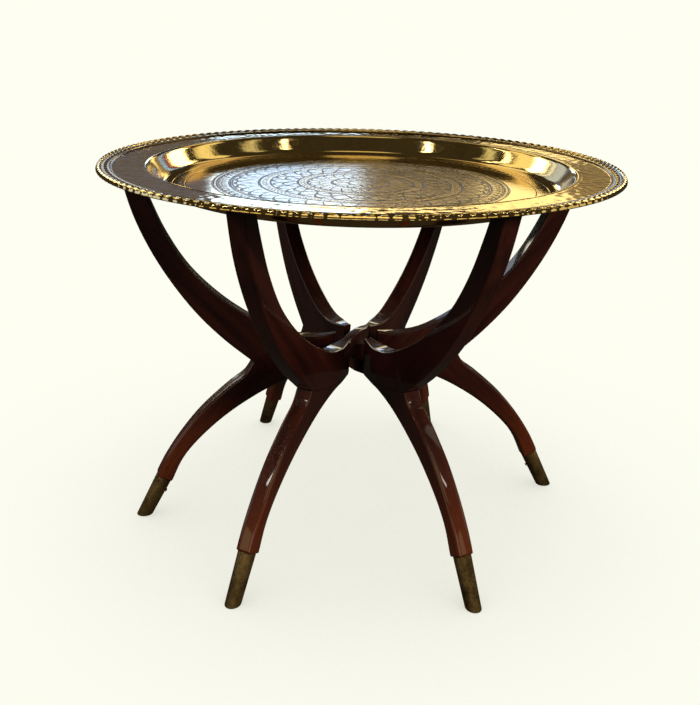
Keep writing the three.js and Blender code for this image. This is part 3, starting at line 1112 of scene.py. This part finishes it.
# %% One slice
REPEATS = 150
SLICE = 2 * math.pi / REPEATS
COLUMNS = 4
bpy.ops.object.select_all(action="DESELECT")
bpy.ops.mesh.primitive_plane_add(size=1)
tray = bpy.context.object
tray.name = "spun_tray"
start_edit(tray)
bpy.ops.mesh.select_all(action="SELECT")
bpy.ops.mesh.merge(type="CENTER")
bpy.ops.transform.translate(value=(outline[0][0], 0, outline[0][1]))
for (r0, z0), (r1, z1) in zip(outline, outline[1:]):
    bpy.ops.mesh.extrude_region_move(TRANSFORM_OT_translate={"value": (r1 - r0, 0, z1 - z0)})
bpy.ops.mesh.select_all(action="SELECT")
bpy.ops.mesh.spin(steps=COLUMNS, angle=SLICE, center=(0, 0, 0), axis=(0, 0, 1))
bpy.ops.mesh.select_all(action="SELECT")
bpy.ops.mesh.remove_doubles(threshold=0.01 * MM)
print("slice", len(bmesh.from_edit_mesh(tray.data).verts), "corners")

# %% [markdown]
# The flutes and beads are raised by lifting the inner columns of the slice, row by row: the middle
# column by the full height and its neighbours by a little less, which gives a round back.
# The outermost edge is drawn in between two beads, so the rim looks nicked all round.


# %% Flutes and beads
def column_of(corner):
    """Which of the slice's lines across the rim a corner is on."""
    turn = abs(math.atan2(corner.co.y, corner.co.x))
    return round(turn / SLICE * COLUMNS)


def on_top(corner, radius):
    far = math.hypot(corner.co.x, corner.co.y)
    return abs(far - radius * MM) < 0.05 * MM and corner.co.z > (RIM + 0.6) * MM


for radius, lift in flute_rows + bead_rows:
    for columns, share in (((2,), 1.0), ((1, 3), 0.72)):
        pick(tray, "VERT", lambda v: on_top(v, radius) and column_of(v) in columns)
        bpy.ops.transform.translate(value=(0, 0, lift * share * MM))
pick(
    tray,
    "VERT",
    lambda v: column_of(v) in (0, COLUMNS) and math.hypot(v.co.x, v.co.y) > 291 * MM,
)
NICK_DEPTH, OUTER_RADIUS = 0.8, 292
NICK = 1 - NICK_DEPTH / OUTER_RADIUS
bpy.ops.transform.resize(value=(NICK, NICK, 1), center_override=(0, 0, 0))

# %% All round
bpy.ops.mesh.select_all(action="SELECT")
bpy.ops.mesh.spin(
    steps=REPEATS - 1,
    dupli=True,
    angle=SLICE * (REPEATS - 1),
    center=(0, 0, 0),
    axis=(0, 0, 1),
)
bpy.ops.mesh.select_all(action="SELECT")
bpy.ops.mesh.remove_doubles(threshold=0.03 * MM)
end_edit()
print("tray", len(tray.data.polygons), "faces")

# %% [markdown]
# The tray's floor is chased: rings, rows of beads, pointed arcs and petals are struck into a
# medallion that fills the middle. They are far finer than the mesh, so they are drawn as a height
# from the distance and the angle about the centre, and a Bump node turns the height into relief.
# Grooves also hold dark polish, so the same height darkens and dulls the metal there.

# %% Chased brass: coordinates
tray_brass, brass = new_material("chased_brass")
tray_place = brass.place()
tray_axes = brass.add("ShaderNodeSeparateXYZ", {}, {"Vector": tray_place})
x_mm, y_mm = tray_axes["X"] * 1000, tray_axes["Y"] * 1000
radius_mm = (x_mm * x_mm + y_mm * y_mm) ** 0.5
angle = x_mm.sum("ARCTAN2", y_mm, x_mm)


def line_at(value, width):
    """1 on the line where value is 0, with a soft edge width wide on both sides."""
    return 1 - value.size().step(0.35 * width, width)


def ring(radius, width):
    return line_at(radius_mm - radius, width)


def beads(radius, count, size):
    """A row of round dots on a circle."""
    across = (radius_mm - radius) / size
    pitch = 2 * math.pi * radius / count
    turn = angle * (count / (2 * math.pi))
    along = turn.sum("PINGPONG", turn, 0.5) * (pitch / size)
    return 1 - (across * across + along * along).step(0.25, 1.0)


# %% Chased brass: medallion
def petals(count, inner, outer, sharp, width):
    """Lines that swing between two radii count times, like overlapping petals."""
    turn = (angle * (count / 2)).wave().size() ** sharp
    return line_at(radius_mm - (inner + turn * (outer - inner)), width)


def crossed(count, inner, outer, sharp, width):
    """The same lines, half a petal further round."""
    turn = (angle * (count / 2) + math.pi / 2).wave().size() ** sharp
    return line_at(radius_mm - (inner + turn * (outer - inner)), width)


grooves = ring(168, 1.6)
for radius, width in (
    (163.5, 1.0), (149, 1.5), (146, 1.0), (116, 1.7), (103, 1.2), (72, 1.6), (61, 1.2),
    (33, 1.6), (14, 1.2), (212, 1.0), (198, 0.8), (276.2, 1.4), (286.4, 0.9),
):
    grooves = grooves.at_least(ring(radius, width))
for pattern in (
    petals(40, 151, 162, 0.7, 1.4),
    crossed(40, 151, 162, 0.7, 1.4),
    petals(20, 118, 143, 0.6, 1.9),
    crossed(20, 118, 143, 0.6, 1.9),
    petals(14, 75, 101, 1.6, 2.1),
    crossed(14, 75, 101, 1.6, 2.1),
    petals(14, 75, 90, 1.2, 1.4),
    petals(12, 35, 60, 0.8, 1.8),
    crossed(12, 35, 60, 0.8, 1.8),
    petals(8, 15, 32, 1.4, 1.8),
):
    grooves = grooves.at_least(pattern)
dots = beads(109.5, 96, 3.0)
for radius, count, size in (
    (66.5, 58, 3.0), (156.5, 120, 2.4), (205, 140, 2.0), (24, 16, 2.4), (46, 24, 3.0),
):
    dots = dots.at_least(beads(radius, count, size))
print("medallion drawn")

# %% [markdown]
# Between the lines the ground is stippled with a fine punch. The rim is planished: small flat
# hammer marks side by side. All of it carries long scratches and a thin uneven tarnish.

# %% Chased brass: ground, hammer marks and wear
on_medallion = 1 - radius_mm.step(166, 169)
on_rim = radius_mm.step(242, 246) * (1 - radius_mm.step(274, 277))
stipple = brass.noise(tray_place, 700.0, 2.0, 0.6)
weave = brass.noise(tray_place, 240.0, 3.0, 0.6)
hammer = brass.add(
    "ShaderNodeTexVoronoi",
    {"feature": "SMOOTH_F1"},
    {"Vector": tray_place, "Scale": 105.0, "Smoothness": 0.6},
)["Distance"]
scratch = brass.noise(brass.place(turn=0.7, scale=(1, 14, 1)), 190.0, 2.0, 0.6)
cloud = brass.noise(tray_place, 16.0, 4.0, 0.6)
relief = on_medallion * ((weave - 0.5) * 0.22 + (stipple - 0.5) * 0.10)
relief = relief + dots * 2.2 - grooves * 1.3
relief = (
    relief + on_rim * hammer * 0.7 + (1 - on_medallion) * (cloud - 0.5) * 0.8 + scratch * 0.03
)
struck = (grooves + on_medallion * (0.62 - weave).step(0.05, 0.3) * 0.5).at_most(1.0)
tarnish = (cloud * 0.7 + weave * 0.3).step(0.42, 0.72)
BRIGHT, DULL = (0.83, 0.64, 0.27), (0.66, 0.46, 0.17)
OLD_POLISH, GROOVE_DIRT = (0.16, 0.10, 0.05), (0.07, 0.04, 0.02)
metal_colour = brass.mix(tarnish, BRIGHT, DULL)
metal_colour = brass.mix(on_medallion * (1 - dots) * 0.62, metal_colour, OLD_POLISH)
metal_colour = brass.mix(struck * 0.85, metal_colour, GROOVE_DIRT)
brass.shade(
    {
        "Base Color": metal_colour,
        "Metallic": 1.0,
        "Roughness": 0.06 + tarnish * 0.04 + struck * 0.16 + on_medallion * 0.03,
        "Normal": brass.bump(relief, 0.0006, 0.9),
    }
)
finish_piece(tray, "tray", "tray", tray_brass)
print("tray finished")

# %% [markdown]
# The CAD nodes that stay are the dowels, the bolt, its washer, the nut and the two spacers. Each
# takes the finish of its own slot in the part's record.

# %% Finish the small parts
slot_of_node = {row["node"]: row["material_slot"] for row in frame["record"]["subparts"]}
kept = [node for node in frame["nodes"].values() if not node.hide_render]
for node in kept:
    node.data.materials.clear()
    node.data.materials.append(FINISH_OF_SLOT[slot_of_node[node.name]])
print("kept CAD nodes", len(kept))
